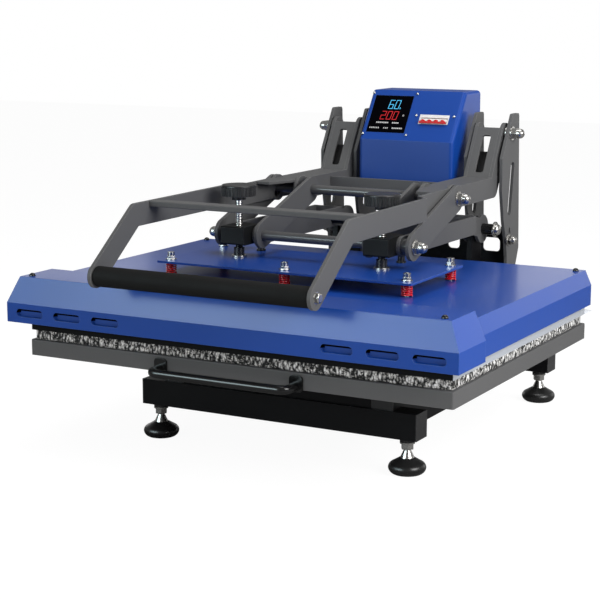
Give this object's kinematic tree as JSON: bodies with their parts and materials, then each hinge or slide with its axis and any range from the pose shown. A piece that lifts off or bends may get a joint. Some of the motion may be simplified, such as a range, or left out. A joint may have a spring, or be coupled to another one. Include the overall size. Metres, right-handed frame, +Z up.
{
  "type": "flat heat press",
  "caption": "Large flat heat press: pull-out padded lower platen, sprung heated upper platen, toggle lever frame and a rear control box.",
  "frame": {"origin": "on the floor, under the middle of the press", "axes": "+Z up; -Y towards the operator, where the grip and the pull are; +X to the operator's right"},
  "size_m": [1.056, 1.1384, 0.748],
  "materials": {
    "blue_paint": "satin powder coat",
    "grey_paint": "satin powder coat",
    "black_paint": "satin powder coat",
    "black_plastic": "moulded",
    "black_rubber": "matt",
    "bright_steel": "polished",
    "plain_steel": "brushed",
    "red_steel": "gloss",
    "red_plastic": "moulded",
    "white_plastic": "moulded",
    "pad_foam": "speckled silicone foam",
    "sheet_white": "coated woven glass cloth",
    "coated_aluminium": "bare edges, coated face",
    "blanket": "ceramic fibre blanket",
    "display_black": "polished",
    "board_green": "printed circuit board"
  },
  "bodies": {
    "frame": {"base_front_beam": "black_paint", "base_rear_beam": "black_paint", "base_side_beams": "black_paint", "pivot_cross_beam": "black_paint", "beam_end_caps": "black_plastic", "rail_tubes": "black_paint", "foot_pads": "black_rubber", "foot_studs_and_nuts": "bright_steel", "guide_rails": "plain_steel", "uprights_outer": "grey_paint", "uprights_inner": "grey_paint", "pivot_pedestals": "black_paint", "pivot_pins": "bright_steel", "rear_braces": "black_paint", "control_box_shell": "blue_paint", "control_box_back": "blue_paint", "box_shelf": "black_paint", "display_module": "display_black", "breaker_body": "white_plastic", "panel_screws": "bright_steel", "control_electronics": "board_green", "mains_gland": "black_plastic"},
    "breaker_switch": {"breaker_toggles": "red_plastic"},
    "lower_platen": {"platen_tray": "grey_paint", "tray_ribs": "grey_paint", "runner_blocks": "black_plastic", "pull_handle": "black_paint", "silicone_pad": "pad_foam", "release_sheet": "sheet_white"},
    "lower_arm": {"arm_outer_plates": "grey_paint", "arm_inner_plates": "grey_paint", "arm_rear_forks": "grey_paint", "arm_blocks": "black_paint", "arm_shaft": "bright_steel", "arm_cross_tube": "grey_paint", "arm_shaft_fittings": "bright_steel"},
    "heated_platen": {"heat_plate": "coated_aluminium", "insulation_blanket": "blanket", "cover_standoffs": "plain_steel", "platen_cover": "blue_paint", "front_cover": "blue_paint", "cover_screws": "black_plastic", "pressure_plate": "blue_paint", "plate_springs": "red_steel", "spring_screws": "bright_steel", "rod_flanges": "bright_steel", "arm_stops": "black_rubber"},
    "pressure_knob_left": {"knob_left": "black_plastic", "pressure_rod_left": "bright_steel"},
    "pressure_knob_right": {"knob_right": "black_plastic", "pressure_rod_right": "bright_steel"},
    "handle_frame": {"handle_plates": "grey_paint", "handle_inner_plates": "grey_paint", "handle_webs": "grey_paint", "handle_cross_members": "grey_paint", "grip_core": "bright_steel", "foam_grip": "black_rubber"},
    "toggle_links": {"toggle_links_outer": "grey_paint", "toggle_links_inner": "grey_paint", "link_shaft": "bright_steel"}
  },
  "joints": [
    {"name": "handle_lift", "type": "hinge", "parent": "frame", "child": "handle_frame", "pos_m": [0, 0.46575, 0.653], "axis": [-1, 0, 0], "range_deg": [0, 40]},
    {"name": "arm_lift", "type": "hinge", "parent": "frame", "child": "lower_arm", "pos_m": [0, 0.40075, 0.427], "axis": [-1, 0, 0], "range_deg": [0, 17.7]},
    {"name": "link_turn", "type": "hinge", "parent": "lower_arm", "child": "toggle_links", "pos_m": [0, -0.07625, 0.449], "axis": [-1, 0, 0], "range_deg": [-40.4, 0]},
    {"name": "knob_turn_right", "type": "hinge", "parent": "heated_platen", "child": "pressure_knob_right", "pos_m": [0.178, -0.10425, 0.493], "axis": [0, 0, 1], "range_deg": [0, 721]},
    {"name": "knob_turn_left", "type": "hinge", "parent": "heated_platen", "child": "pressure_knob_left", "pos_m": [-0.178, -0.10425, 0.493], "axis": [0, 0, 1], "range_deg": [0, 721]},
    {"name": "pressure_height", "type": "slide", "parent": "lower_arm", "child": "heated_platen", "axis": [0, 0, 1], "range_m": [0, 0.008]},
    {"name": "lower_platen_slide", "type": "slide", "parent": "frame", "child": "lower_platen", "axis": [0, -1, 0], "range_m": [0, 0.4]},
    {"name": "breaker_flip", "type": "hinge", "parent": "frame", "child": "breaker_switch", "pos_m": [0.061, 0.42191, 0.67593], "axis": [-1, 0, 0], "range_deg": [0, 44]}
  ],
  "couplings": [
    {"joint": "arm_lift", "follows": "handle_lift", "ratio": 0.4409},
    {"joint": "link_turn", "follows": "handle_lift", "ratio": -1.007},
    {"joint": "knob_turn_right", "follows": "pressure_height", "rad_per_m": 1570.8},
    {"joint": "knob_turn_left", "follows": "pressure_height", "rad_per_m": 1570.8}
  ]
}
